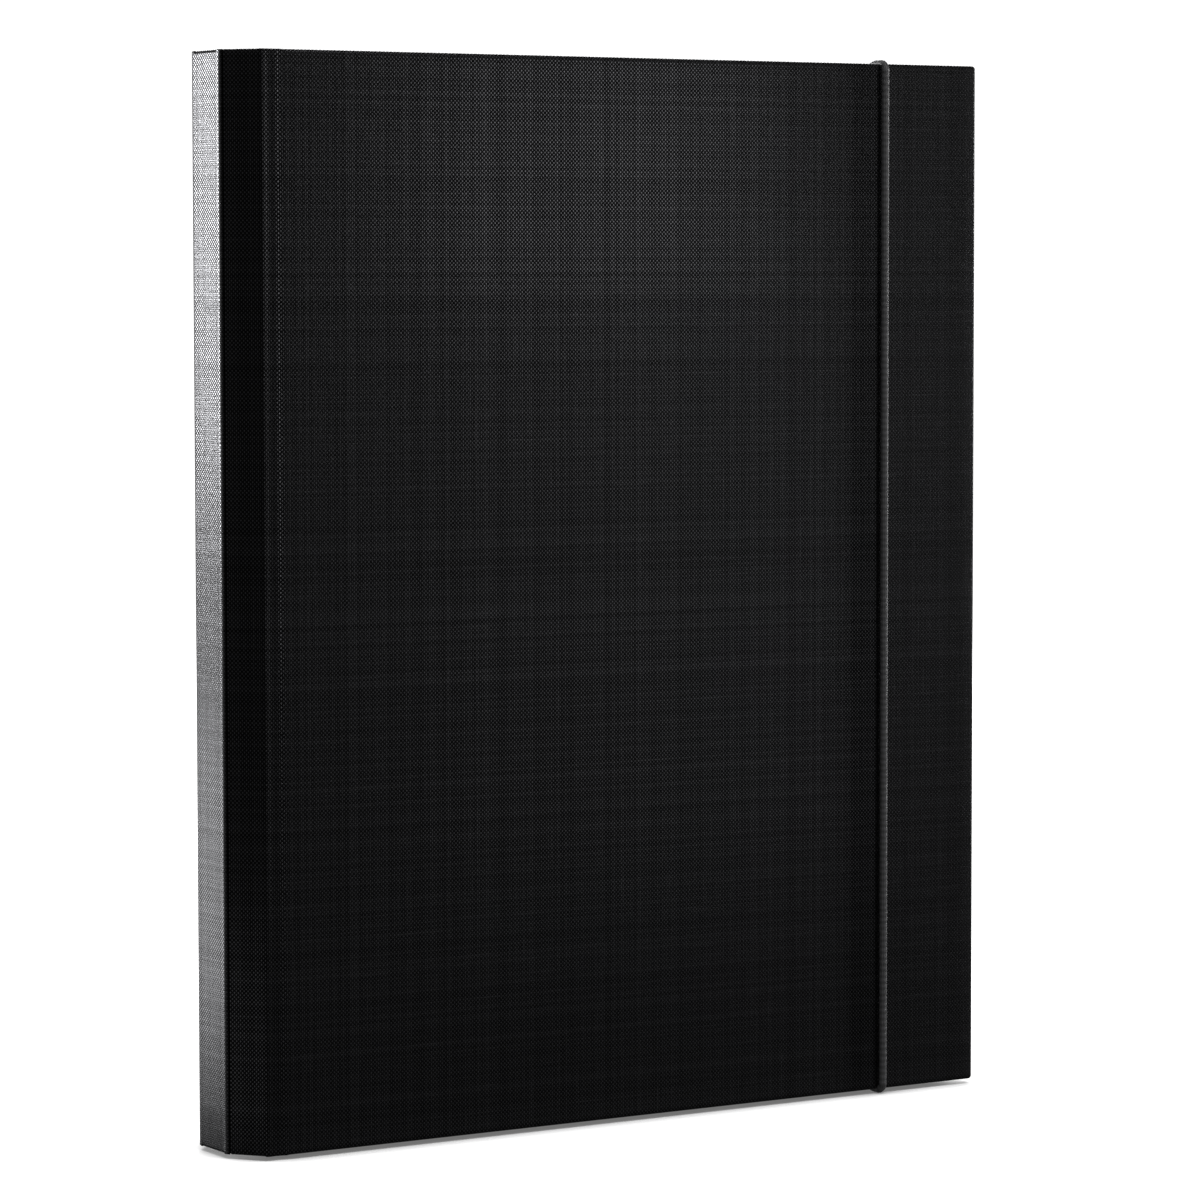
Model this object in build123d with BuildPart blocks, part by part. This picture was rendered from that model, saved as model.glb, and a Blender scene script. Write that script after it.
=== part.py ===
from build123d import *
import os
from math import atan2, hypot, pi, tan

os.makedirs("parts", exist_ok=True)

# A case-bound hardcover sketchbook, standing on its tail edge.  +Z is up and -Y is the front cover's side.
# The spine is at -X and the fore edge at +X.  The origin is under the middle of the book, at its lowest point.

# Leaves and sections
LEAF_WIDTH = 216.0
LEAF_HEIGHT = 279.0
SECTION_COUNT = 12
SECTION_PITCH = 2.25
SECTION_GAP = 0.1
FOLD_RADIUS = 0.9
FLYLEAF_THICKNESS = 0.2

# Case, outside to outside
CASE_WIDTH = 233.0
CASE_HEIGHT = 286.0
CASE_THICKNESS = 35.0
SPINE_WIDTH = 15.2
BEVEL_RUN = 7.6
JOINT_WIDTH = 5.5
JOINT_DEPTH = 1.0
JOINT_FLOOR = (1.2, 4.7)
JOINT_THICKNESS = 0.8

# Sheet stock
CLOTH = 0.4
COVER_BOARD = 2.5
SPINE_BOARD = 2.0
PASTEDOWN = 0.25
PASTEDOWN_MARGIN = 3.5
TURN_IN = 15.0
CORNER_RADIUS = 1.2
HINGE_GAP = 0.08

# Elastic closure
CORD_RADIUS = 1.1
CORD_CLEARANCE = 0.15
CORD_FROM_FORE_EDGE = 32.0
CORD_PROUD = 1.15
CORD_BEND = 1.3
CORD_HOLE_INSET = 12.0
BARB_LENGTH = 12.0
BARB_WIDTH = 2.2
BARB_THICKNESS = 0.8

# Sewing, lining and end bands
THREAD_RADIUS = 0.25
STITCH_LENGTH = 14.0
STITCH_COUNT = 5
STITCH_SPACING = 56.0
SMALL_GAP = 0.02
LINING = 0.35
LINING_HEIGHT = 250.0
BAND_RADIUS = 1.0
BAND_TAPE = 0.4
BAND_TAPE_HEIGHT = 10.0

# Worked out from the sizes above
SPINE_X = -CASE_WIDTH / 2
FORE_X = CASE_WIDTH / 2
COVER_Y = CASE_THICKNESS / 2
TAIL_Z = CORD_PROUD
HEAD_Z = TAIL_Z + CASE_HEIGHT
CREASE_X = SPINE_X + BEVEL_RUN
BOARD_X = CREASE_X + JOINT_WIDTH
COVER_STACK = CLOTH + COVER_BOARD + CLOTH
SPINE_STACK = CLOTH + SPINE_BOARD + CLOTH
SQUARE = (CASE_HEIGHT - LEAF_HEIGHT) / 2
LEAF_X = FORE_X - 4.0 - LEAF_WIDTH
LEAF_Z = TAIL_Z + SQUARE
BLOCK_HALF = SECTION_COUNT * SECTION_PITCH / 2
CORD_X = FORE_X - CORD_FROM_FORE_EDGE
CORD_Y = COVER_Y + CORD_RADIUS + CORD_CLEARANCE
CORD_LOW_Z = CORD_RADIUS
CORD_HIGH_Z = HEAD_Z + CORD_PROUD - CORD_RADIUS
BOARD_INNER_Y = COVER_Y - CLOTH - COVER_BOARD
HOLE_ZS = (TAIL_Z + CORD_HOLE_INSET, HEAD_Z - CORD_HOLE_INSET)
THREAD_X = LEAF_X - SMALL_GAP - THREAD_RADIUS
LINING_X = THREAD_X - THREAD_RADIUS - SMALL_GAP - LINING

FRONT = -1
BACK = 1
SPINE_CORNERS = ((SPINE_X, -SPINE_WIDTH / 2), (SPINE_X, SPINE_WIDTH / 2))
BEVEL_DROP = COVER_Y - SPINE_WIDTH / 2
JOINT_TURN = atan2(BEVEL_DROP, BEVEL_RUN)
SPINE_TURN = pi / 2 - JOINT_TURN


def save(builder, name):
    builder.part.label = name
    export_step(builder.part, f"parts/{name}.step")


def run_profile(start, end, near, far, start_turn, end_turn):
    """Corners of one layer of a flat run of the case, from depth near to depth far under its outer line.

    The inside of the case is to the left of the direction from start to end.  Each end is mitred to half
    of the turn to the next run, and stands a hinge gap back from that mitre.
    """
    length = hypot(end[0] - start[0], end[1] - start[1])
    along = ((end[0] - start[0]) / length, (end[1] - start[1]) / length)
    inward = (-along[1], along[0])

    def point(distance, depth):
        x = start[0] + along[0] * distance + inward[0] * depth
        y = start[1] + along[1] * distance + inward[1] * depth
        return (x, y)

    def first(depth):
        return HINGE_GAP + depth * tan(start_turn / 2)

    def last(depth):
        return length - HINGE_GAP - depth * tan(end_turn / 2)

    return [
        point(first(near), near),
        point(last(near), near),
        point(last(far), far),
        point(first(far), far),
    ]


def bevel_run(side):
    """The bevel's outer line, its turn at each end, in the order that keeps the inside on the left."""
    crease = (CREASE_X, side * COVER_Y)
    corner = (SPINE_X, side * SPINE_WIDTH / 2)
    if side == FRONT:
        return corner, crease, SPINE_TURN, JOINT_TURN
    return crease, corner, JOINT_TURN, SPINE_TURN


def narrow_board(run):
    """A spine or bevel board: one strip of grey board, mitred along both long edges."""
    start, end, start_turn, end_turn = run
    with BuildPart() as board:
        with BuildSketch(Plane.XY.offset(TAIL_Z + CLOTH)):
            with BuildLine():
                Polyline(
                    *run_profile(start, end, CLOTH, CLOTH + SPINE_BOARD, start_turn, end_turn),
                    close=True,
                )
            make_face()
        extrude(amount=CASE_HEIGHT - 2 * CLOTH)
    return board


def narrow_cloth(run):
    """The cloth over a narrow board, wrapped round its head and tail and turned in behind it."""
    start, end, start_turn, end_turn = run
    board_back = CLOTH + SPINE_BOARD
    with BuildPart() as cloth:
        with BuildSketch(Plane.XY.offset(TAIL_Z)):
            with BuildLine():
                Polyline(
                    *run_profile(start, end, 0, SPINE_STACK, start_turn, end_turn), close=True
                )
            make_face()
        extrude(amount=CASE_HEIGHT)
        with BuildSketch(Plane.XY.offset(TAIL_Z + CLOTH)):
            with BuildLine():
                Polyline(
                    *run_profile(start, end, CLOTH, board_back, start_turn, end_turn), close=True
                )
            make_face()
        extrude(amount=CASE_HEIGHT - 2 * CLOTH, mode=Mode.SUBTRACT)
        with BuildSketch(Plane.XY.offset(TAIL_Z + TURN_IN)):
            with BuildLine():
                Polyline(
                    *run_profile(start, end, board_back, SPINE_STACK, start_turn, end_turn),
                    close=True,
                )
            make_face()
        extrude(amount=CASE_HEIGHT - 2 * TURN_IN, mode=Mode.SUBTRACT)
    return cloth


def cord_line():
    """Centre line of the elastic: out of the back cover, round head, front and tail, and in again."""
    low_hole, high_hole = HOLE_ZS
    inner_end = BOARD_INNER_Y + BARB_THICKNESS + CORD_CLEARANCE
    points = [
        (inner_end, high_hole),
        (CORD_Y, high_hole),
        (CORD_Y, CORD_HIGH_Z),
        (-CORD_Y, CORD_HIGH_Z),
        (-CORD_Y, CORD_LOW_Z),
        (CORD_Y, CORD_LOW_Z),
        (CORD_Y, low_hole),
        (inner_end, low_hole),
    ]
    return [(CORD_X, y, z) for y, z in points]


def cut_cord_way(side):
    """The notches in a cover's head and tail edges that the elastic lies in, and the back cover's holes."""
    heights = [CORD_LOW_Z, CORD_HIGH_Z]
    if side == BACK:
        heights.extend(HOLE_ZS)
    with Locations(*[(CORD_X, side * (COVER_Y - COVER_STACK / 2), z) for z in heights]):
        Cylinder(
            CORD_RADIUS + CORD_CLEARANCE,
            2 * COVER_STACK,
            rotation=(90, 0, 0),
            mode=Mode.SUBTRACT,
        )


def depth_range(side, near, far):
    """The lower y of a layer of a cover, from depth near to depth far under its outer face."""
    return COVER_Y - far if side == BACK else -COVER_Y + near


def cover_slab(side, low_x, high_x, low_z, high_z, near, far, mode=Mode.ADD):
    """A rectangular layer of a cover between two depths under its outer face."""
    with Locations((low_x, depth_range(side, near, far), low_z)):
        Box(
            high_x - low_x,
            far - near,
            high_z - low_z,
            align=(Align.MIN, Align.MIN, Align.MIN),
            mode=mode,
        )


def cover_board(side):
    """A cover's grey board; the back one has the elastic's holes and the pockets for its barbs."""
    with BuildPart() as board:
        cover_slab(
            side,
            BOARD_X + CLOTH,
            FORE_X - CLOTH,
            TAIL_Z + CLOTH,
            HEAD_Z - CLOTH,
            CLOTH,
            CLOTH + COVER_BOARD,
        )
        if side == BACK:
            with BuildSketch(Plane.XZ.offset(-BOARD_INNER_Y)):
                with Locations(*[(CORD_X, z) for z in HOLE_ZS]):
                    SlotOverall(BARB_LENGTH + 2 * CORD_CLEARANCE, BARB_WIDTH + 2 * CORD_CLEARANCE)
            extrude(amount=-BARB_THICKNESS, mode=Mode.SUBTRACT)
        cut_cord_way(side)
    return board


def joint_profile(side):
    """The groove's section: down from the crease, across its floor and up the cover board's edge."""
    floor_start, floor_end = JOINT_FLOOR
    depths = [
        (HINGE_GAP, 0),
        (floor_start, JOINT_DEPTH),
        (floor_end, JOINT_DEPTH),
        (JOINT_WIDTH, 0),
        (JOINT_WIDTH + CLOTH, 0),
        (JOINT_WIDTH + CLOTH, JOINT_DEPTH + JOINT_THICKNESS),
        (floor_start, JOINT_DEPTH + JOINT_THICKNESS),
        (HINGE_GAP + JOINT_THICKNESS * tan(JOINT_TURN / 2), JOINT_THICKNESS),
    ]
    return [(CREASE_X + x, side * (COVER_Y - depth)) for x, depth in depths]


def cover_cloth(side):
    """A cover's cloth with its groove: outer sheet, wrapped edges and the turn-ins on three sides."""
    board_back = CLOTH + COVER_BOARD
    with BuildPart() as cloth:
        cover_slab(side, BOARD_X, FORE_X, TAIL_Z, HEAD_Z, 0, COVER_STACK)
        fore_corners = cloth.edges().filter_by(Axis.Y).group_by(Axis.X)[-1]
        fillet(fore_corners, radius=CORNER_RADIUS)
        cover_slab(
            side,
            BOARD_X + CLOTH,
            FORE_X - CLOTH,
            TAIL_Z + CLOTH,
            HEAD_Z - CLOTH,
            CLOTH,
            board_back,
            mode=Mode.SUBTRACT,
        )
        cover_slab(
            side,
            BOARD_X,
            FORE_X - TURN_IN,
            TAIL_Z + TURN_IN,
            HEAD_Z - TURN_IN,
            board_back,
            COVER_STACK,
            mode=Mode.SUBTRACT,
        )
        cover_slab(
            side,
            BOARD_X,
            BOARD_X + CLOTH,
            TAIL_Z,
            HEAD_Z,
            JOINT_DEPTH + JOINT_THICKNESS,
            COVER_STACK,
            mode=Mode.SUBTRACT,
        )
        with BuildSketch(Plane.XY.offset(TAIL_Z)):
            with BuildLine():
                Polyline(*joint_profile(side), close=True)
            make_face()
        extrude(amount=CASE_HEIGHT)
        cut_cord_way(side)
    return cloth


def pastedown(side):
    """The endpaper's glued half: it lies on the turn-ins and dips onto the board between them."""
    board_back = CLOTH + COVER_BOARD
    low_x = BOARD_X + CLOTH
    low_z = TAIL_Z + PASTEDOWN_MARGIN
    high_z = HEAD_Z - PASTEDOWN_MARGIN
    with BuildPart() as paper:
        cover_slab(
            side,
            low_x,
            FORE_X - PASTEDOWN_MARGIN,
            low_z,
            high_z,
            COVER_STACK,
            COVER_STACK + PASTEDOWN,
        )
        cover_slab(
            side,
            low_x,
            FORE_X - TURN_IN,
            TAIL_Z + TURN_IN,
            HEAD_Z - TURN_IN,
            board_back,
            COVER_STACK,
        )
        cover_slab(
            side,
            low_x,
            FORE_X - TURN_IN - PASTEDOWN,
            TAIL_Z + TURN_IN + PASTEDOWN,
            HEAD_Z - TURN_IN - PASTEDOWN,
            board_back + PASTEDOWN,
            COVER_STACK + PASTEDOWN,
            mode=Mode.SUBTRACT,
        )
    return paper


def section_middle(number):
    """The y of a section's middle; section 1 is next to the front cover."""
    return (number - (SECTION_COUNT + 1) / 2) * SECTION_PITCH


def section(number):
    """A gathering of leaves, folded at the spine edge."""
    with BuildPart() as block:
        with Locations((LEAF_X, section_middle(number), LEAF_Z)):
            Box(
                LEAF_WIDTH,
                SECTION_PITCH - SECTION_GAP,
                LEAF_HEIGHT,
                align=(Align.MIN, Align.CENTER, Align.MIN),
            )
        fillet(block.edges().filter_by(Axis.Z).group_by(Axis.X)[0], radius=FOLD_RADIUS)
    return block


def sewing_thread(number):
    """The stitches that show along the outside of a section's fold."""
    with BuildPart() as thread:
        middle = LEAF_Z + LEAF_HEIGHT / 2
        for index in range(STITCH_COUNT):
            z = middle + (index - (STITCH_COUNT - 1) / 2) * STITCH_SPACING
            with Locations((THREAD_X, section_middle(number), z)):
                Cylinder(THREAD_RADIUS, STITCH_LENGTH)
    return thread


def flyleaf(side):
    """The free half of an endpaper, tipped on to the outer section."""
    face = side * (BLOCK_HALF - SECTION_GAP / 2)
    align_y = Align.MIN if side == BACK else Align.MAX
    with BuildPart() as leaf:
        with Locations((LEAF_X + FOLD_RADIUS, face, LEAF_Z)):
            Box(
                LEAF_WIDTH - FOLD_RADIUS,
                FLYLEAF_THICKNESS,
                LEAF_HEIGHT,
                align=(Align.MIN, align_y, Align.MIN),
            )
    return leaf


def end_band(end_z, up):
    """A worked bead at one end of the spine folds, on a tape glued over the lining."""
    bead_z = end_z + up * (BAND_RADIUS + SMALL_GAP)
    width = 2 * BLOCK_HALF - SECTION_GAP
    tape_x = LINING_X - SMALL_GAP - BAND_TAPE
    tape_align = Align.MAX if up > 0 else Align.MIN
    with BuildPart() as band:
        with Locations((LINING_X + BAND_RADIUS - BAND_TAPE, 0, bead_z)):
            Cylinder(BAND_RADIUS, width, rotation=(90, 0, 0))
        with Locations((tape_x, 0, bead_z)):
            Box(
                BAND_TAPE,
                width,
                BAND_TAPE_HEIGHT,
                align=(Align.MIN, Align.CENTER, tape_align),
            )
    return band


SPINE_RUN = (SPINE_CORNERS[1], SPINE_CORNERS[0], SPINE_TURN, SPINE_TURN)

save(narrow_board(SPINE_RUN), "spine_board")
save(narrow_cloth(SPINE_RUN), "spine_cloth")

for side, side_name in ((FRONT, "front"), (BACK, "back")):
    save(narrow_board(bevel_run(side)), f"{side_name}_bevel_board")
    save(narrow_cloth(bevel_run(side)), f"{side_name}_bevel_cloth")
    save(cover_board(side), f"{side_name}_board")
    save(cover_cloth(side), f"{side_name}_cloth")
    save(pastedown(side), f"{side_name}_pastedown")
    save(flyleaf(side), f"{side_name}_flyleaf")

for number in range(1, SECTION_COUNT + 1):
    save(section(number), f"section_{number:02d}")
    save(sewing_thread(number), f"sewing_thread_{number:02d}")

with BuildPart() as spine_lining:
    with Locations((LINING_X, 0, LEAF_Z + LEAF_HEIGHT / 2)):
        Box(
            LINING,
            2 * BLOCK_HALF - SECTION_GAP,
            LINING_HEIGHT,
            align=(Align.MIN, Align.CENTER, Align.CENTER),
        )
save(spine_lining, "spine_lining")

save(end_band(LEAF_Z + LEAF_HEIGHT, 1), "head_band")
save(end_band(LEAF_Z, -1), "tail_band")

with BuildPart() as elastic_cord:
    with BuildLine() as path:
        FilletPolyline(*cord_line(), radius=CORD_BEND)
    with BuildSketch(Plane(origin=path.line @ 0, z_dir=path.line % 0)):
        Circle(CORD_RADIUS)
    sweep()
save(elastic_cord, "elastic_cord")

with BuildPart() as elastic_barbs:
    with BuildSketch(Plane.XZ.offset(-BOARD_INNER_Y)):
        with Locations(*[(CORD_X, z) for z in HOLE_ZS]):
            SlotOverall(BARB_LENGTH, BARB_WIDTH)
    extrude(amount=-BARB_THICKNESS)
save(elastic_barbs, "elastic_barbs")
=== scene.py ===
import math

import bmesh
import bpy
import numpy as np
from mathutils import Matrix, Vector

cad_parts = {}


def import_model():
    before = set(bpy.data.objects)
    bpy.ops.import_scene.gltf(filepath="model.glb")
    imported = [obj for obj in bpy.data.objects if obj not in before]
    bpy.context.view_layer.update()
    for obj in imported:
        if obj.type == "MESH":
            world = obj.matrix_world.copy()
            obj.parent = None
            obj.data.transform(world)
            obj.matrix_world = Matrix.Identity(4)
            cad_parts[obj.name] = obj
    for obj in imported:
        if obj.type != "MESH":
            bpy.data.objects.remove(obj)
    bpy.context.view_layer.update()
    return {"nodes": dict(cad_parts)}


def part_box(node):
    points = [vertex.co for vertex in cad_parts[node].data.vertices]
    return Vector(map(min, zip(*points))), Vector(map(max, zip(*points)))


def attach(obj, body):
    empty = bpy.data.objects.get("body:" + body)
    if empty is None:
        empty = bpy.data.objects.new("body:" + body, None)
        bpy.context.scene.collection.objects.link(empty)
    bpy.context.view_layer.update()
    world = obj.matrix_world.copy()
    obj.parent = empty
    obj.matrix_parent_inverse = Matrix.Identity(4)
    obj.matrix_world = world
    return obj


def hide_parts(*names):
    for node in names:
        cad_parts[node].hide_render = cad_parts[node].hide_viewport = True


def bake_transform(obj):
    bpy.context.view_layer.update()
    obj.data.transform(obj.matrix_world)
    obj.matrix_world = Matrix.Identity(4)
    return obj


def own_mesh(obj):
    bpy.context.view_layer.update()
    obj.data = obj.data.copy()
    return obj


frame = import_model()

# Everything is in metres, in the CAD frame: the spine at -X, the fore edge at +X, the front cover towards -Y.
MM = 0.001
SECTIONS = 12
FRONT, BACK = -1, 1
SIDES = {FRONT: "front", BACK: "back"}

# ---------------- places read from the frame

cover_low, cover_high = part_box("front_cloth")
cord_low, cord_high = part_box("elastic_cord")
block_low, block_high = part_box("section_01")

SPINE_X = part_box("spine_cloth")[0].x
FORE_X = cover_high.x
COVER_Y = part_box("back_cloth")[1].y
TAIL_Z, HEAD_Z = cover_low.z, cover_high.z
MIDDLE_Z = (TAIL_Z + HEAD_Z) / 2
CORD_RADIUS = (cord_high.x - cord_low.x) / 2
CORD_X = (cord_low.x + cord_high.x) / 2
CORD_Y = cord_high.y - CORD_RADIUS
LEAF_X, LEAF_END_X = block_low.x, block_high.x
LEAF_LOW_Z, LEAF_HIGH_Z = block_low.z, block_high.z

# Sizes that are as the CAD has them. A stack is a board with the cloth on both of its faces.
SPINE_HALF = 7.6 * MM
BEVEL_RUN = 7.6 * MM  # along x
CREASE_X = SPINE_X + BEVEL_RUN
JOINT_WIDTH = 5.5 * MM
BOARD_EDGE_X = CREASE_X + JOINT_WIDTH
COVER_STACK = 3.3 * MM
BEVEL_STACK = 2.8 * MM
TURN_IN = 15 * MM
LINING_INSET = 3.5 * MM
SECTION_PITCH = 2.25 * MM
SECTION_GAP = 0.1 * MM
HOLE_INSET = 12 * MM
BEAD_RADIUS = 1.0 * MM
TAPE = 0.4 * MM
TAPE_HEIGHT = 10 * MM

# The case's outer line, as the photo shows it.
SPINE_ROUND = 2.4 * MM
CREASE_ROUND = 1.0 * MM
CREASE_DROP = 0.55 * MM
JOINT_DEPTH = 0.68 * MM
FLOOR_AT = 1.9 * MM  # the groove's deepest place, from the crease
GROOVE_RISE = 2.3  # power of the curve from there up to the board
LIP_ROUND = 0.25 * MM

# The case's cloth: a skin with real thickness, wrapped round each board's edges.
SPINE_STACK = 3.3 * MM
FOLD = 0.8 * MM  # thickness of the cover where there is no board
CLOTH_SKIN = 0.36 * MM
EDGE_ROUND = 1.0 * MM
COVER_TURN_IN = 6.0 * MM  # the rest of it would lie under the endpaper
CREASE_REACH = 1.0 * MM  # how far a crease's bending strip goes to either side of it
PRESS_LINE_IN = 1.2 * MM  # the pressed line along the spine, from the spine strip's end
PRESS_LINE_HALF = 0.22 * MM
PRESS_LINE_DEPTH = 0.035 * MM
SLACK = 0.10 * MM  # most that the glued cloth stands proud
SHARP = math.radians(50)
NEAR = 0.02 * MM  # grid lines closer than this are one
MERGE = 0.004 * MM  # and points of the mesh
BOARD_DRAW = 0.3 * MM  # how far the boards are drawn in from the CAD's
DENT_HALF = 2.2 * MM  # the elastic's dent in the covers' edges
DENT_DEPTH = 1.22 * MM
HOLE_WINDOW = 3.2 * MM
HOLE_LIP = (  # radius and depth, from the face down the wall of an elastic's hole
    (2.2 * MM, 0.02 * MM), (1.5 * MM, 0.12 * MM), (1.25 * MM, 0.45 * MM),
    (1.22 * MM, 1.2 * MM), (1.22 * MM, 1.9 * MM))

# The cloth's weave and shine. Its colour holds painted light: painted sheen on the thread tops and painted
# shade in the gaps.
THREAD_PITCH = 0.55 * MM
THREAD_WANDER = 0.3  # in threads
# Gap colour with painted shade, and thread-top colour with painted sheen.
CLOTH_SHADE_DARK, CLOTH_SHEEN_LIGHT = (0.004, 0.004, 0.0046), (0.200, 0.201, 0.212)
CLOTH_SHINE, CLOTH_DULL = 0.215, 0.32  # roughness of the thread tops, and what the gaps add
CLOTH_BUMP = 0.3
CLOTH_GLOSS = 0.85

# Endpapers and linings.
ENDPAPER = 0.22 * MM
PAPER_LIFT = 0.01 * MM
PAPER_INSET = 0.4 * MM
RIDGE = 0.6 * MM  # half the width of the step where a turn-in ends under the paper
BARE_DROP = 0.36 * MM  # height of that step
HINGE_AT, HINGE_HALF, HINGE_DEPTH = 6 * MM, 0.5 * MM, 0.1 * MM

# The text block.
SHEETS = 6  # in a section
FOLD_BULGE = 0.9 * MM
FOLD_END = 4 * MM
LEAF_STRAY = 0.25 * MM
LEAF_GAP = 0.012 * MM
LINING_BOW = 0.12 * MM
BAND_PITCH = 1.1 * MM
BAND_ROUND = 14  # points round the bead

# The elastic: its line over the head and tail, its bends and its braid.
HEAD_PATH_Z = HEAD_Z + 0.05 * MM
TAIL_PATH_Z = TAIL_Z - 0.05 * MM
CORD_BEND = 2.0 * MM
HOLE_BEND = 1.2 * MM
CORD_DIP = 1.9 * MM  # how far it sinks between the boards
BOARD_IN_Y = 14.0 * MM
DIP_Y = 8.0 * MM
DIP_BEND = 6.0 * MM
CORD_IN = 3.2 * MM  # how far its ends go into their holes
BRAID_STEP = 0.25 * MM
BRAID_ROUND = 24
BRAID_STRANDS = 6
BRAID_LAY = 3.4 * MM

# The camera and the studio.
LENS = 144
CAMERA_AT = Vector((-0.6873, -1.1074, 0.2322))
CAMERA_YAW = math.radians(31.94)
CAMERA_DOWN = math.radians(4.01)
CAMERA_ROLL = math.radians(-0.085)
BOWL, BOWL_BEND = 3.6, 1.2
BOWL_SIDES = 64
CONTACT = 14 * MM  # reach of the painted contact shadow, which ambient occlusion darkens into the bowl's glow
OPEN_RANGE = (0.25, 0.95)  # how open a place is, and how much it glows
GLOW_RANGE = (0.15, 1.1)
AIR = 0.05
# Name, place, aimed at, width and height, watts.
LIGHTS = [
    ("spine_key", (-1.24, 1.66, 0.42), (-0.1165, 0.0, 0.2), (0.5, 0.7), 25),
    ("spine_low", (-0.30, 0.36, 0.02), (-0.1165, 0.0, 0.03), (0.20, 0.12), 0.24),
    ("front_sheen", (0.19, -0.34, 0.275), (0.03, 0.0, 0.255), (0.12, 0.10), 0.038),
    ("front_wash", (0.275, -0.44, 0.13), (0.04, 0.0, 0.14), (0.16, 0.24), 0.030),
    ("elastic_rim", (0.85, -0.17, 0.2), (0.0845, -0.0187, 0.15), (0.06, 0.4), 1.5),
    ("joint_fill", (-0.14, -1.5, 0.30), (-0.1, 0.0, 0.2), (0.3, 0.5), 0.5),
    ("floor_bounce", (-0.27, -0.06, 0.004), (-0.20, -0.04, 0.1), (0.10, 0.10), 0.004),
    ("top_soft", (0.1, -0.7, 1.4), (0.0, -0.1, 0.1), (1.0, 1.0), 4),
    ("back_key", (0.75, 1.3, 0.9), (0.0, 0.0, 0.15), (1.0, 1.0), 15),
]

# ---------------- mesh helpers


def new_object(name, data):
    """An object over the data, in the scene."""
    obj = bpy.data.objects.new(name, data)
    bpy.context.scene.collection.objects.link(obj)
    return obj


class Shape:
    """Points, faces and a uv pair for each point, gathered into one mesh."""

    def __init__(self):
        self.points, self.uvs, self.faces = [], [], []

    def grid(self, points, uvs, flip=False, close=False):
        """A sheet of quads over points[row][column]; close joins the last column to the first."""
        rows, columns = len(points), len(points[0])
        base = len(self.points)
        for row, uv_row in zip(points, uvs):
            self.points.extend(tuple(p) for p in row)
            self.uvs.extend(tuple(uv) for uv in uv_row)
        for i in range(rows - 1):
            for j in range(columns if close else columns - 1):
                a = base + i * columns + j
                b = base + i * columns + (j + 1) % columns
                c, d = b + columns, a + columns
                self.faces.append((a, d, c, b) if flip else (a, b, c, d))

    def sheet(self, outer, inner, uvs, flip=False):
        """A thin closed solid between two grids, with its rims on points of their own."""
        self.grid(outer, uvs, flip)
        self.grid(inner, uvs, not flip)
        rims = [
            (outer[0], inner[0], uvs[0], False),
            (outer[-1], inner[-1], uvs[-1], True),
            ([r[0] for r in outer], [r[0] for r in inner], [r[0] for r in uvs], True),
            ([r[-1] for r in outer], [r[-1] for r in inner], [r[-1] for r in uvs], False),
        ]
        for top, bottom, uv, turned in rims:
            self.grid([bottom, top], [uv, uv], flip != turned)

    def cap(self, row, flip=False):
        """One flat face over a closed row, on points of its own."""
        base = len(self.points)
        self.points.extend(row)
        self.uvs.extend([(0.0, 0.0)] * len(row))
        face = tuple(range(base, base + len(row)))
        self.faces.append(face[::-1] if flip else face)

    def build(self, name, smooth=True):
        """The shape as an object in the scene, with its uvs in the map "cloth"."""
        mesh = bpy.data.meshes.new(name)
        mesh.from_pydata(self.points, [], self.faces)
        layer = mesh.uv_layers.new(name="cloth")
        index = np.zeros(len(mesh.loops), int)
        mesh.loops.foreach_get("vertex_index", index)
        layer.data.foreach_set("uv", np.asarray(self.uvs, np.float32)[index].ravel())
        mesh.polygons.foreach_set("use_smooth", [smooth] * len(mesh.polygons))
        mesh.update()
        return new_object(name, mesh)


def step(low, high, value):
    """0 below low, 1 above high, smooth between; low may be above high."""
    t = min(1.0, max(0.0, (value - low) / (high - low)))
    return t * t * (3 - 2 * t)


def spread(low, high, spacing):
    """Evenly spaced values from low to high, about that far apart, both ends in."""
    count = max(1, round((high - low) / spacing))
    return [low + (high - low) * k / count for k in range(count + 1)]


def merged(*runs):
    """The runs' values in rising order, without near repeats."""
    values = sorted(v for run in runs for v in run)
    kept = [values[0]]
    for v in values[1:]:
        if v - kept[-1] > NEAR:
            kept.append(v)
    return kept


def rounded_line(corners, radii, arc_steps=5):
    """A flat line through corners with its inner corners rounded, as a list of 2-D vectors."""
    line = [Vector(corners[0])]
    for before, at, after, radius in zip(corners, corners[1:], corners[2:], radii):
        at, into = Vector(at), (Vector(at) - Vector(before)).normalized()
        out = (Vector(after) - at).normalized()
        turn = into.angle(out)
        reach = radius * math.tan(turn / 2)
        start = at - into * reach
        side = 1 if into.x * out.y - into.y * out.x > 0 else -1
        normal = Vector((-into.y, into.x)) * side
        centre = start + normal * radius
        for k in range(arc_steps + 1):
            a = turn * k / arc_steps * side
            spoke = start - centre
            spoke = Vector((spoke.x * math.cos(a) - spoke.y * math.sin(a),
                            spoke.x * math.sin(a) + spoke.y * math.cos(a)))
            line.append(centre + spoke)
    line.append(Vector(corners[-1]))
    return line


def lengths(line):
    """Distance along a line at each of its points."""
    total, found = 0.0, [0.0]
    for a, b in zip(line, line[1:]):
        total += (Vector(b) - Vector(a)).length
        found.append(total)
    return found


def points_at(line, at, wanted):
    """(point, direction) at each wanted distance along a line, in rising order; at is its lengths."""
    found, k = [], 0
    for s in wanted:
        while k < len(at) - 2 and at[k + 1] < s:
            k += 1
        t = (s - at[k]) / max(at[k + 1] - at[k], 1e-9)
        found.append((line[k].lerp(line[k + 1], min(1.0, max(0.0, t))), (line[k + 1] - line[k]).normalized()))
    return found


def normals(line):
    """Left-hand unit normal at each point of a flat line."""
    found = []
    for k in range(len(line)):
        a, b = line[max(0, k - 1)], line[min(len(line) - 1, k + 1)]
        d = (Vector(b) - Vector(a)).normalized()
        found.append(Vector((-d.y, d.x)))
    return found


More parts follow.
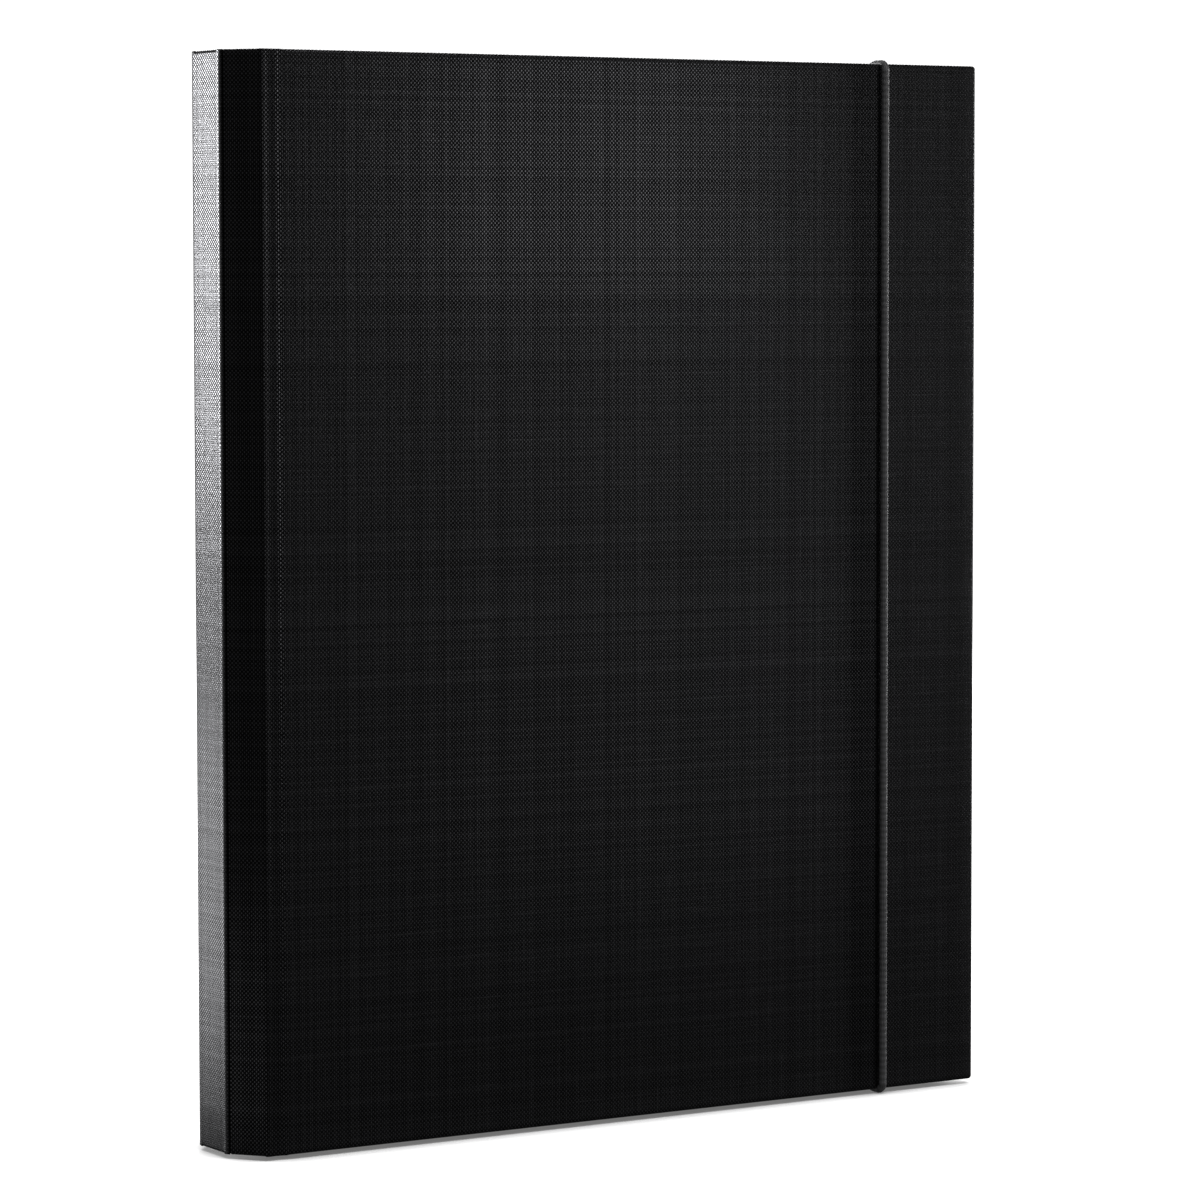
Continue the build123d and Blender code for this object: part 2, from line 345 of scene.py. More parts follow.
def finish_piece(obj, material, body, replaces):
    """Gives a piece its material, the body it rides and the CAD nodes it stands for."""
    obj.data.materials.append(material)
    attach(obj, body)
    if replaces:
        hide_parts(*replaces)


# ---------------- material helpers


class Nodes:
    """A small wrapper that makes and links shader nodes."""

    def __init__(self, name):
        self.material = bpy.data.materials.new(name)
        self.material.use_nodes = True
        self.tree = self.material.node_tree
        self.shader = self.tree.nodes["Principled BSDF"]

    def set(self, **values):
        """Sets the shader's own sockets, with _ for each space in their names."""
        for key, value in values.items():
            self.shader.inputs[key.replace("_", " ")].default_value = value

    def link(self, source, target):
        """Links a socket, or sets a plain value."""
        if isinstance(source, (int, float, tuple)):
            target.default_value = source
        else:
            self.tree.links.new(source, target)

    def math(self, operation, a, b=0.0, c=0.0):
        node = self.tree.nodes.new("ShaderNodeMath")
        node.operation = operation
        for value, socket in zip((a, b, c), node.inputs):
            self.link(value, socket)
        return node.outputs[0]

    def uv(self):
        """The map "cloth", in metres along the cloth, as u and v."""
        node = self.tree.nodes.new("ShaderNodeUVMap")
        node.uv_map = "cloth"
        split = self.tree.nodes.new("ShaderNodeSeparateXYZ")
        self.tree.links.new(node.outputs[0], split.inputs[0])
        return split.outputs[0], split.outputs[1]

    def place(self):
        """Object coordinates, in metres, as x, y and z."""
        node = self.tree.nodes.new("ShaderNodeTexCoord")
        split = self.tree.nodes.new("ShaderNodeSeparateXYZ")
        self.tree.links.new(node.outputs["Object"], split.inputs[0])
        return split.outputs

    def vector(self, x, y, z=0.0):
        node = self.tree.nodes.new("ShaderNodeCombineXYZ")
        for value, socket in zip((x, y, z), node.inputs):
            self.link(value, socket)
        return node.outputs[0]

    def noise(self, vector, scale=1.0, detail=2.0, roughness=0.5):
        node = self.tree.nodes.new("ShaderNodeTexNoise")
        self.link(vector, node.inputs["Vector"])
        node.inputs["Scale"].default_value = scale
        node.inputs["Detail"].default_value = detail
        node.inputs["Roughness"].default_value = roughness
        return node.outputs[0]

    def grain(self, scales, detail=2.0, roughness=0.5):
        """Noise over the object's coordinates, each with a scale of its own."""
        scaled = [self.math("MULTIPLY", at, scale) for at, scale in zip(self.place(), scales)]
        return self.noise(self.vector(*scaled), 1.0, detail, roughness)

    def white(self, value, seed=0.0):
        """A random value for each whole number."""
        node = self.tree.nodes.new("ShaderNodeTexWhiteNoise")
        node.noise_dimensions = "2D"
        self.link(self.vector(value, seed), node.inputs["Vector"])
        return node.outputs["Value"]

    def ramp(self, value, low, high, out_low=0.0, out_high=1.0):
        node = self.tree.nodes.new("ShaderNodeMapRange")
        node.interpolation_type = "SMOOTHSTEP"
        self.link(value, node.inputs["Value"])
        for key, number in (("From Min", low), ("From Max", high), ("To Min", out_low), ("To Max", out_high)):
            node.inputs[key].default_value = number
        return node.outputs[0]

    def mix(self, factor, a, b):
        node = self.tree.nodes.new("ShaderNodeMix")
        node.data_type = "RGBA"
        self.link(factor, node.inputs["Factor"])
        self.link((*a, 1.0) if isinstance(a, tuple) else a, node.inputs[6])
        self.link((*b, 1.0) if isinstance(b, tuple) else b, node.inputs[7])
        return node.outputs[2]

    def bump(self, height, strength, distance):
        node = self.tree.nodes.new("ShaderNodeBump")
        node.inputs["Strength"].default_value = strength
        node.inputs["Distance"].default_value = distance
        self.link(height, node.inputs["Height"])
        return node.outputs[0]

    def finish(self, color, roughness, normal):
        """Links the shader's main sockets; the result is the material."""
        for value, name in ((color, "Base Color"), (roughness, "Roughness"), (normal, "Normal")):
            self.link((*value, 1.0) if isinstance(value, tuple) else value, self.shader.inputs[name])
        return self.material


def weave(n, pitch):
    """A plain weave of uneven threads over the uv map.

    The result is its height, how far the warp is over the weft, the slubs, and each thread's number.
    """
    u, v = n.uv()
    drift_u = n.noise(n.vector(n.math("MULTIPLY", u, 900.0), n.math("MULTIPLY", v, 70.0), 3.7), 1.0, 2.0)
    drift_v = n.noise(n.vector(n.math("MULTIPLY", u, 70.0), n.math("MULTIPLY", v, 900.0), 8.1), 1.0, 2.0)

    def count_threads(at, drift):
        wander = n.math("MULTIPLY", n.math("SUBTRACT", drift, 0.5), THREAD_WANDER)
        return n.math("ADD", n.math("DIVIDE", at, pitch), wander)

    across, along = count_threads(u, drift_u), count_threads(v, drift_v)
    warp_id, weft_id = n.math("FLOOR", across), n.math("FLOOR", along)

    def thread(position, thread_id, other, phase):
        centred = n.math("SUBTRACT", n.math("SUBTRACT", position, thread_id), 0.5)
        round_top = n.math("SUBTRACT", 1.0, n.math("MULTIPLY", n.math("MULTIPLY", centred, centred), 3.4))
        angle = n.math("MULTIPLY", n.math("ADD", n.math("ADD", other, thread_id), phase), math.pi)
        lift = n.math("MULTIPLY_ADD", n.math("SINE", angle), 0.45, 0.55)
        return n.math("MULTIPLY", round_top, lift)

    warp = thread(across, warp_id, along, 0.0)
    weft = thread(along, weft_id, across, 1.0)
    height = n.math("MAXIMUM", warp, weft)
    over = n.ramp(n.math("SUBTRACT", warp, weft), -0.12, 0.12)
    warp_slub = n.vector(n.math("MULTIPLY", warp_id, 7.31), n.math("MULTIPLY", v, 55.0), 1.0)
    weft_slub = n.vector(n.math("MULTIPLY", u, 55.0), n.math("MULTIPLY", weft_id, 5.17), 2.0)
    warp_slub, weft_slub = n.noise(warp_slub, 1.0, 1.0), n.noise(weft_slub, 1.0, 1.0)
    slub = n.math("MAXIMUM", n.ramp(warp_slub, 0.60, 0.78), n.ramp(weft_slub, 0.60, 0.78))
    return height, over, slub, warp_id, weft_id


def cloth_material():
    """Black book cloth with painted light in its colour: painted sheen on the thread tops, most on the warp
    floats, over painted shade in the near-black gaps.
    """
    n = Nodes("book_cloth_black")
    height, over, slub, warp_id, weft_id = weave(n, THREAD_PITCH)
    top = n.ramp(height, 0.30, 0.85)
    tone = n.math("MULTIPLY_ADD", n.white(warp_id, 1.3), 0.5, n.math("MULTIPLY", n.white(weft_id, 4.2), 0.5))
    # Painted sheen: thread tops, and the warp floats most, are coloured brighter for the light they catch;
    # the gaps between them get painted shade.
    face = n.math("MULTIPLY", top, n.math("MULTIPLY_ADD", over, 0.80, 0.20))
    uneven = n.math("MULTIPLY_ADD", tone, 0.25, n.math("MULTIPLY", slub, 0.07))
    # Painted sheen and shade, mixed with the threads' own random tone and slubs.
    sheen_and_tone = n.math("MULTIPLY_ADD", face, 0.75, uneven)
    color = n.mix(n.ramp(sheen_and_tone, 0.1, 1.2), CLOTH_SHADE_DARK, CLOTH_SHEEN_LIGHT)
    cloudy = n.noise(n.vector(*n.place()), 22.0, 3.0)
    shine = n.math("MULTIPLY_ADD", tone, -0.08, n.math("MULTIPLY_ADD", cloudy, 0.06, CLOTH_SHINE))
    rough = n.math("ADD", shine, n.math("MULTIPLY", n.math("SUBTRACT", 1.0, face), CLOTH_DULL))
    relief = n.math("ADD", top, n.math("MULTIPLY", slub, 0.12))
    n.set(Metallic=CLOTH_GLOSS)
    return n.finish(color, rough, n.bump(relief, CLOTH_BUMP, 0.05 * MM))


def paper_material(name, light, dark, tooth=0.25):
    """Matt paper with a fine fibre; tooth is the strength of its relief."""
    n = Nodes(name)
    fibre = n.grain((2600.0, 2600.0, 2600.0), 3.0, 0.6)
    cloud = n.noise(n.vector(*n.place()), 40.0, 3.0)
    tone = n.math("MULTIPLY_ADD", fibre, 0.6, n.math("MULTIPLY", cloud, 0.4))
    n.set(Specular_IOR_Level=0.25)
    return n.finish(n.mix(n.ramp(tone, 0.3, 0.7), dark, light), n.ramp(fibre, 0.3, 0.7, 0.78, 0.92),
                    n.bump(fibre, tooth, 0.05 * MM))


def board_material():
    """Black-core board, dark so that it doesn't show in a fold of the cloth."""
    n = Nodes("black_core_board")
    fleck = n.grain((1500.0, 1500.0, 1500.0), 4.0, 0.7)
    n.set(Specular_IOR_Level=0.2)
    return n.finish(n.mix(n.ramp(fleck, 0.35, 0.65), (0.010, 0.010, 0.010), (0.030, 0.030, 0.030)), 0.9,
                    n.bump(fleck, 0.4, 0.1 * MM))


def thread_material(name, light, dark, pitch=0.35 * MM):
    """Twisted thread, with slanting bands a pitch apart."""
    n = Nodes(name)
    x, y, z = n.place()
    twist = n.math("SINE", n.math("MULTIPLY", n.math("ADD", z, n.math("ADD", x, y)), 2 * math.pi / pitch))
    fuzz = n.grain((6000.0, 6000.0, 6000.0))
    tone = n.math("MULTIPLY_ADD", twist, 0.25, fuzz)
    n.set(Specular_IOR_Level=0.3, Sheen_Weight=0.2)
    return n.finish(n.mix(n.ramp(tone, 0.2, 0.9), dark, light), 0.75, n.bump(tone, 0.5, 0.08 * MM))


def elastic_material():
    """The elastic's braid, whose tones follow its mesh."""
    n = Nodes("elastic_braid")
    u, v = n.uv()
    around = n.math("MULTIPLY", u, 2 * math.pi * BRAID_STRANDS)
    on = n.math("MULTIPLY", v, 2 * math.pi / BRAID_LAY)
    plait = n.math("MULTIPLY", n.math("SINE", n.math("ADD", around, on)),
                   n.math("SINE", n.math("SUBTRACT", around, on)))
    fuzz = n.noise(n.vector(n.math("MULTIPLY", u, 90.0), n.math("MULTIPLY", v, 9000.0)), 1.0, 3.0)
    tone = n.math("MULTIPLY_ADD", plait, 0.25, fuzz)
    n.set(Specular_IOR_Level=0.6, Sheen_Weight=0.25, Sheen_Roughness=0.35)
    return n.finish(n.mix(n.ramp(tone, 0.2, 0.9), (0.09, 0.09, 0.093), (0.30, 0.30, 0.308)),
                    n.ramp(fuzz, 0.2, 0.8, 0.36, 0.55), n.bump(tone, 0.4, 0.05 * MM))


def steel_material():
    """Drawn steel, scratched along z."""
    n = Nodes("barb_steel")
    scratch = n.grain((400.0, 400.0, 6000.0), 3.0)
    n.set(Metallic=1.0)
    return n.finish((0.55, 0.55, 0.56), n.ramp(scratch, 0.3, 0.7, 0.28, 0.45),
                    n.bump(scratch, 0.2, 0.02 * MM))


CLOTH_MATERIAL = cloth_material()
LEAF_MATERIAL = paper_material("leaf_paper", (0.82, 0.79, 0.72), (0.70, 0.67, 0.60))
ENDPAPER_MATERIAL = paper_material("endpaper_black", (0.022, 0.022, 0.023), (0.012, 0.012, 0.013), 0.35)
BOARD_MATERIAL = board_material()
THREAD_MATERIAL = thread_material("sewing_thread", (0.80, 0.77, 0.70), (0.50, 0.47, 0.40))
BAND_MATERIAL = thread_material("end_band_thread", (0.030, 0.030, 0.032), (0.008, 0.008, 0.009), 0.6 * MM)
GAUZE_MATERIAL = thread_material("lining_gauze", (0.72, 0.69, 0.62), (0.45, 0.42, 0.36), 0.9 * MM)
ELASTIC_MATERIAL = elastic_material()
STEEL_MATERIAL = steel_material()

# The CAD nodes that no piece stands for keep their shape and get a material.
NODE_MATERIALS = {"sewing_thread": THREAD_MATERIAL, "elastic_barbs": STEEL_MATERIAL}
for node_name, node in frame["nodes"].items():
    for word, material in NODE_MATERIALS.items():
        if word in node_name:
            node.data.materials.clear()
            node.data.materials.append(material)


# ---------------- the case's line


def half_line():
    """The outer line of half of the case, from the spine's middle to past the board's edge, as (x, depth).

    Depth is measured in from the cover's outer plane, so one line serves the front and the back.
    """
    fall = [CREASE_DROP + (JOINT_DEPTH - CREASE_DROP) * step(-0.2, 1.0, k / 6) for k in range(7)]
    groove = [(CREASE_X + FLOOR_AT * k / 6, depth) for k, depth in enumerate(fall)]
    groove[0] = (CREASE_X, CREASE_DROP)
    rise = [(CREASE_X + FLOOR_AT + (JOINT_WIDTH - FLOOR_AT) * k / 12,
             fall[-1] * (1 - (k / 12) ** GROOVE_RISE)) for k in range(1, 13)]
    corners = rounded_line(
        [(SPINE_X, COVER_Y), (SPINE_X, COVER_Y - SPINE_HALF), groove[0], groove[4]],
        (SPINE_ROUND, CREASE_ROUND))
    edge = rounded_line([rise[-2], rise[-1], (rise[-1][0] + 3 * MM, 0.0)], (LIP_ROUND,))
    return corners + [Vector(p) for p in groove[5:] + rise[:-2]] + edge


HALF_LINE = half_line()
HALF_AT = lengths(HALF_LINE)


def distance_to(target):
    """Distance along the half line to its point nearest the target."""
    near = min(range(len(HALF_LINE)), key=lambda k: (HALF_LINE[k] - Vector(target)).length)
    return HALF_AT[near]


CORNER_S = distance_to((SPINE_X, COVER_Y - SPINE_HALF))
CREASE_S = distance_to((CREASE_X, CREASE_DROP))
END_X, END_S = HALF_LINE[-1].x, HALF_AT[-1]
SPINE_END, BEVEL_START = CORNER_S - CREASE_REACH, CORNER_S + CREASE_REACH
BEVEL_END, COVER_START = CREASE_S - CREASE_REACH, CREASE_S + CREASE_REACH
CUTS = merged([SPINE_END, BEVEL_START, BEVEL_END, COVER_START],
              [SPINE_END - PRESS_LINE_IN + k * 0.15 * MM for k in range(-3, 4)],
              spread(SPINE_END, BEVEL_START, 0.2 * MM), spread(BEVEL_END, COVER_START, 0.2 * MM),
              spread(0.0, SPINE_END - PAPER_INSET, 2 * MM),
              spread(END_S - 3 * MM, END_S, 0.5 * MM),
              spread(BEVEL_START + PAPER_INSET, BEVEL_END - PAPER_INSET, 2 * MM))
LINE_S = merged(HALF_AT, CUTS)
LINE = [point for point, direction in points_at(HALF_LINE, HALF_AT, LINE_S)]
LINE_NORMALS = normals(LINE)


def along(low, high):
    """Indices of the line's points between two distances, both ends in."""
    return [k for k, s in enumerate(LINE_S) if low - 1e-6 <= s <= high + 1e-6]


def edge_levels(thickness, turn_in):
    """(inset, depth, run) from just inside the outer edge, round it, and in to the turn-in's end.

    Inset is measured in from the edge, depth in from the outer face, and run along the cloth.
    """
    radius = min(EDGE_ROUND, 0.45 * thickness)
    levels = [(EDGE_ROUND, 0.0)]
    turns = [math.pi / 2 * k / 5 for k in range(6)]
    levels += [(radius * (1 - math.sin(a)), radius * (1 - math.cos(a))) for a in turns]
    levels += [(radius * (1 - math.sin(a)), thickness - radius * (1 - math.cos(a))) for a in reversed(turns)]
    levels += [(turn_in * 0.4, thickness), (turn_in, thickness)]
    runs = lengths([Vector(level) for level in levels])
    return [(inset, depth, run) for (inset, depth), run in zip(levels, runs)]


def full_column(k, side, thickness, turn_in):
    """Points and uvs up one column of the wrapped cloth, from the tail turn-in to the head turn-in."""
    point, normal, s = LINE[k], LINE_NORMALS[k], LINE_S[k]
    levels = edge_levels(thickness, turn_in)
    low, high = TAIL_Z + EDGE_ROUND, HEAD_Z - EDGE_ROUND
    tail = [(depth, TAIL_Z + inset, low - run) for inset, depth, run in reversed(levels)]
    head = [(depth, HEAD_Z - inset, high + run) for inset, depth, run in levels]
    column = tail + [(0.0, z, z) for z in spread(low, high, 12 * MM)[1:-1]] + head
    pressed = PRESS_LINE_DEPTH * math.exp(-((s - SPINE_END + PRESS_LINE_IN) / PRESS_LINE_HALF) ** 2)
    points = []
    for depth, z, v in column:
        sunk = depth + (pressed if depth < thickness / 2 else 0.0)
        points.append((point.x + normal.x * sunk, side * (COVER_Y - point.y - normal.y * sunk), z))
    return points, [(side * s, v) for depth, z, v in column]


def made_solid(obj, thickness, at, direction):
    """Merges the surface's doubled points and gives it a thickness inwards, as plain mesh.

    The face nearest at tells the outer side: it looks along direction.
    """
    edit = bmesh.new()
    edit.from_mesh(obj.data)
    bmesh.ops.remove_doubles(edit, verts=edit.verts, dist=MERGE)
    bmesh.ops.dissolve_degenerate(edit, dist=MERGE / 4, edges=edit.edges)
    bmesh.ops.recalc_face_normals(edit, faces=edit.faces)
    nearest = min(edit.faces, key=lambda f: (f.calc_center_median() - Vector(at)).length)
    if nearest.normal.dot(Vector(direction)) < 0:
        bmesh.ops.reverse_faces(edit, faces=edit.faces)
    edit.to_mesh(obj.data)
    edit.free()
    solidify = obj.modifiers.new("thickness", "SOLIDIFY")
    solidify.thickness = thickness
    solidify.offset = -1
    bpy.context.view_layer.update()
    evaluated = obj.evaluated_get(bpy.context.evaluated_depsgraph_get())
    final = bpy.data.meshes.new_from_object(evaluated)
    obj.modifiers.clear()
    obj.data = final
    final.set_sharp_from_angle(angle=SHARP)


def outward(obj, inside):
    """Turns every face so that it looks away from the point inside."""
    edit = bmesh.new()
    edit.from_mesh(obj.data)
    total = sum((f.calc_center_median() - Vector(inside)).dot(f.normal) * f.calc_area() for f in edit.faces)
    if total < 0:
        bmesh.ops.reverse_faces(edit, faces=edit.faces)
    edit.to_mesh(obj.data)
    edit.free()


# ---------------- the case's cloth


def line_piece(name, runs, thickness, turn_in, body=None, replaces=()):
    """A wrapped run of cloth, on one body, or on none where it lies between a pair of them.

    Runs is a list of (side, line index) columns in order.
    """
    shape, points, uvs = Shape(), [], []
    for side, k in runs:
        column, uv = full_column(k, side, thickness, turn_in)
        points.append(column)
        uvs.append(uv)
    shape.grid(points, uvs)
    obj = shape.build(name)
    mid_side, mid_k = runs[len(runs) // 2]
    at, inwards = LINE[mid_k], LINE_NORMALS[mid_k]
    made_solid(obj, CLOTH_SKIN, (at.x, mid_side * (COVER_Y - at.y), MIDDLE_Z),
               (-inwards.x, mid_side * inwards.y, 0))
    obj.data.materials.append(CLOTH_MATERIAL)
    if body:
        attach(obj, body)
    else:
        start, end = [(LINE[k].x, side * (COVER_Y - LINE[k].y), 0.0) for side, k in (runs[0], runs[-1])]
        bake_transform(obj)
        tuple(start)
        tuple(end)
    if replaces:
        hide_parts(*replaces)


line_piece("spine_cover", [(FRONT, k) for k in reversed(along(0, SPINE_END))]
           + [(BACK, k) for k in along(0, SPINE_END)[1:]],
           SPINE_STACK, TURN_IN, body="spine", replaces=["spine_cloth"])
for side, word in SIDES.items():
    line_piece(f"{word}_spine_crease", [(side, k) for k in along(SPINE_END, BEVEL_START)],
               FOLD, TURN_IN)
    line_piece(f"{word}_bevel_cover", [(side, k) for k in along(BEVEL_START, BEVEL_END)],
               BEVEL_STACK, TURN_IN, body=f"{word}_bevel", replaces=[f"{word}_bevel_cloth"])
    line_piece(f"{word}_joint_crease", [(side, k) for k in along(BEVEL_END, COVER_START)],
               FOLD, TURN_IN)


# ---------------- the boards inside the cloth


def board_core(node_name, body):
    """The board inside the cloth, drawn in a little so that it clears the cloth's rounded folds."""
    edit = bmesh.new()
    edit.from_mesh(frame["nodes"][node_name].data)
    bmesh.ops.remove_doubles(edit, verts=edit.verts, dist=0.001 * MM)
    edit.normal_update()
    moves = [(vert, vert.normal * (BOARD_DRAW * vert.calc_shell_factor())) for vert in edit.verts]
    for vert, move in moves:
        vert.co -= move
    mesh = bpy.data.meshes.new(f"{node_name}_core")
    edit.to_mesh(mesh)
    edit.free()
    mesh.set_sharp_from_angle(angle=SHARP)
    finish_piece(new_object(f"{node_name}_core", mesh), BOARD_MATERIAL, body, [node_name])


for board_body in ("spine", "front_bevel", "back_bevel", "front_cover", "back_cover"):
    board_core(f"{board_body.removesuffix('_cover')}_board", board_body)


# ---------------- the covers' cloth


def groove_depth(x):
    """Depth of the outer line at x, 0 past the groove."""
    if x >= END_X:
        return 0.0
    k = next(i for i in range(len(LINE) - 1) if LINE[i + 1].x >= x and LINE_S[i + 1] > CREASE_S)
    t = (x - LINE[k].x) / (LINE[k + 1].x - LINE[k].x)
    return LINE[k].y + (LINE[k + 1].y - LINE[k].y) * t


def stack_at(x):
    """Thickness of the cover at x: the two cloths at the joint, and the whole stack where the board is."""
    return FOLD + (COVER_STACK - FOLD) * step(BOARD_EDGE_X - 0.2 * MM, BOARD_EDGE_X + 0.5 * MM, x)


def slack(x, z):
    """How far the glued cloth stands proud at a place on the cover, none under the elastic."""
    across, up = math.sin(x * 41 + 1.3 + 1.1 * math.sin(z * 13)), math.sin(z * 29 + 0.4 + x * 17)
    wave = 0.5 + 0.25 * across + 0.25 * up
    clear = step(2 * MM, 30 * MM, abs(x - CORD_X))
    inside = step(BOARD_EDGE_X, BOARD_EDGE_X + 25 * MM, x)
    return SLACK * wave * clear * inside


def press(x, depth, z):
    """Moves a point of a cover's cloth out of the way of the elastic's bends at the head and tail."""
    across = abs(x - CORD_X)
    if across >= DENT_HALF:
        return depth, z
    sunk = DENT_DEPTH * (0.5 + 0.5 * math.cos(math.pi * across / DENT_HALF))
    reach = CORD_BEND - sunk
    centre_d = CORD_BEND - (CORD_Y - COVER_Y)
    for end, outward_z in ((HEAD_PATH_Z, 1), (TAIL_PATH_Z, -1)):
        centre_z = end - outward_z * CORD_BEND
        rise = (z - centre_z) * outward_z
        if rise <= 0:
            continue
        fall = centre_d - depth
        if fall <= 0:
            z = centre_z + outward_z * min(rise, reach)
        elif math.hypot(rise, fall) > reach:
            shrink = reach / math.hypot(rise, fall)
            depth, z = centre_d - fall * shrink, centre_z + outward_z * rise * shrink
    return depth, z


def cover_columns():
    """The covers' columns from the joint to the fore edge, as {x: distance along the cloth}."""
    columns = {LINE[k].x: LINE_S[k] for k in along(COVER_START, END_S)}
    board = merged(spread(END_X, FORE_X - EDGE_ROUND, 6 * MM)[1:],
                   spread(CORD_X - DENT_HALF - 0.5 * MM, CORD_X + DENT_HALF + 0.5 * MM, 0.22 * MM),
                   spread(CORD_X - HOLE_WINDOW, CORD_X + HOLE_WINDOW, HOLE_WINDOW / 4))
    columns.update({x: END_S + (x - END_X) for x in board if abs(x - END_X) > 0.1 * MM})
    return columns


HOLE_ZS = (TAIL_Z + HOLE_INSET, HEAD_Z - HOLE_INSET)
S_AT = cover_columns()
COVER_XS = list(S_AT)
COVER_ZS = merged(spread(TAIL_Z + EDGE_ROUND, HEAD_Z - EDGE_ROUND, 6 * MM),
                  spread(TAIL_Z + EDGE_ROUND, TAIL_Z + 4 * MM, 0.35 * MM),
                  spread(HEAD_Z - 4 * MM, HEAD_Z - EDGE_ROUND, 0.35 * MM),
                  *[spread(z - HOLE_WINDOW, z + HOLE_WINDOW, HOLE_WINDOW / 4) for z in HOLE_ZS])


def cover_point(side, x, depth, z):
    """A point of a cover's cloth, pressed out of the elastic's way."""
    depth, z = press(x, depth, z)
    return x, side * (COVER_Y - depth), z


def in_window(x, z):
    """Whether a place is in the square that a hole's ring fills."""
    return abs(x - CORD_X) < HOLE_WINDOW and any(abs(z - hole_z) < HOLE_WINDOW for hole_z in HOLE_ZS)


def cover_face(shape, side):
    """A cover's outer face, without the squares round the holes in the back."""
    xs, zs = COVER_XS, COVER_ZS
    for x in xs:
        for z in zs:
            shape.points.append(cover_point(side, x, groove_depth(x) - slack(x, z), z))
            shape.uvs.append((side * S_AT[x], z))
    count = len(zs)
    for i in range(len(xs) - 1):
        for j in range(count - 1):
            if side == FRONT or not in_window((xs[i] + xs[i + 1]) / 2, (zs[j] + zs[j + 1]) / 2):
                a = i * count + j
                shape.faces.append((a, a + count, a + count + 1, a + 1))


def cover_outline():
    """The outer face's outline in order, as (point, outward direction), with a fan at each fore corner."""
    xs, zs = COVER_XS, COVER_ZS
    low, high, right = zs[0], zs[-1], xs[-1]
    fan = [math.pi / 2 * k / 6 for k in range(7)]
    outline = [((x, low), (0.0, -1.0)) for x in xs]
    outline += [((right, low), (math.sin(a), -math.cos(a))) for a in fan[1:]]
    outline += [((right, z), (1.0, 0.0)) for z in zs[1:]]
    outline += [((right, high), (math.cos(a), math.sin(a))) for a in fan[1:]]
    return outline + [((x, high), (0.0, 1.0)) for x in reversed(xs[:-1])]


def cover_rim(shape, side):
    """A cover's cloth from its outline, round the edges, to the end of the turn-ins."""
    rim, rim_uv = [], []
    for (x, z), (out_x, out_z) in cover_outline():
        row, row_uv = [], []
        base_depth = groove_depth(x)
        for inset, depth, run in edge_levels(stack_at(x), COVER_TURN_IN):
            past = EDGE_ROUND - inset
            px, pz = x + out_x * past, z + out_z * past
            if past < 0:
                px = min(x, FORE_X - inset) if out_x < 0.999 else FORE_X - inset
                pz = min(max(z, TAIL_Z + inset), HEAD_Z - inset)
            swell = slack(x, z) * (1 - min(1.0, run / (2 * MM)))
            row.append(cover_point(side, px, base_depth + depth - swell, pz))
            row_uv.append((side * (S_AT[x] + out_x * run), z + out_z * run))
        rim.append(row)
        rim_uv.append(row_uv)
    shape.grid(rim, rim_uv)


def ring_hole(shape, side, hole_z):
    """The cloth round one of the elastic's holes, from its square window to the hole's wall."""
    wide = [x for x in COVER_XS if abs(x - CORD_X) <= HOLE_WINDOW + 1e-6]
    tall = [z for z in COVER_ZS if abs(z - hole_z) <= HOLE_WINDOW + 1e-6]
    loop = [(x, tall[0]) for x in wide[:-1]] + [(wide[-1], z) for z in tall[:-1]]
    loop += [(x, tall[-1]) for x in reversed(wide[1:])] + [(wide[0], z) for z in reversed(tall[1:])]
    rows, uvs = [], []
    for x, z in loop:
        angle = math.atan2(z - hole_z, x - CORD_X)
        row, uv = [cover_point(side, x, -slack(x, z), z)], [(side * S_AT[x], z)]
        for radius, depth in HOLE_LIP:
            px, pz = CORD_X + radius * math.cos(angle), hole_z + radius * math.sin(angle)
            row.append(cover_point(side, px, depth, pz))
            uv.append((side * (S_AT[x] + px - x), pz))
        rows.append(row)
        uvs.append(uv)
    shape.grid(rows + rows[:1], uvs + uvs[:1])


for side, word in SIDES.items():
    cloth = Shape()
    cover_face(cloth, side)
    cover_rim(cloth, side)
    if side == BACK:
        for hole_z in HOLE_ZS:
            ring_hole(cloth, side, hole_z)
    cover = cloth.build(f"{word}_cover_cloth")
    made_solid(cover, CLOTH_SKIN, (0, side * COVER_Y, MIDDLE_Z), (0, side, 0))
    finish_piece(cover, CLOTH_MATERIAL, f"{word}_cover", [f"{word}_cloth"])


# ---------------- endpapers and linings


def paper_sheet(name, columns, rows, place, thickness, material, body, replaces=()):
    """A thin closed sheet over columns and rows; place(a, b, lift) is a point at lift from its underside."""
    shape = Shape()
    top = [[place(a, b, thickness) for b in rows] for a in columns]
    under = [[place(a, b, 0.0) for b in rows] for a in columns]
    uvs = [[(a, b) for b in rows] for a in columns]
    shape.sheet(top, under, uvs)
    obj = shape.build(name)
    outward(obj, sum((Vector(p) for p in (top[0][0], top[-1][-1], under[0][-1], under[-1][0])), Vector()) / 4)
    finish_piece(obj, material, body, replaces)


def turned_in(x, z):
    """1 over the turn-ins and 0 over the bare board, with the step that shows through the paper."""
    inset = min(FORE_X - x, z - TAIL_Z, HEAD_Z - z)
    return 1 - step(TURN_IN - RIDGE, TURN_IN + RIDGE, inset)


def edge_rows(low, high, spacing):
    """Rows from low to high, close together where the turn-ins' ridge crosses them."""
    return merged(spread(low, high, spacing), *[
        [at + k * RIDGE / 2 for k in range(-3, 4)] for at in (TAIL_Z + TURN_IN, HEAD_Z - TURN_IN)])


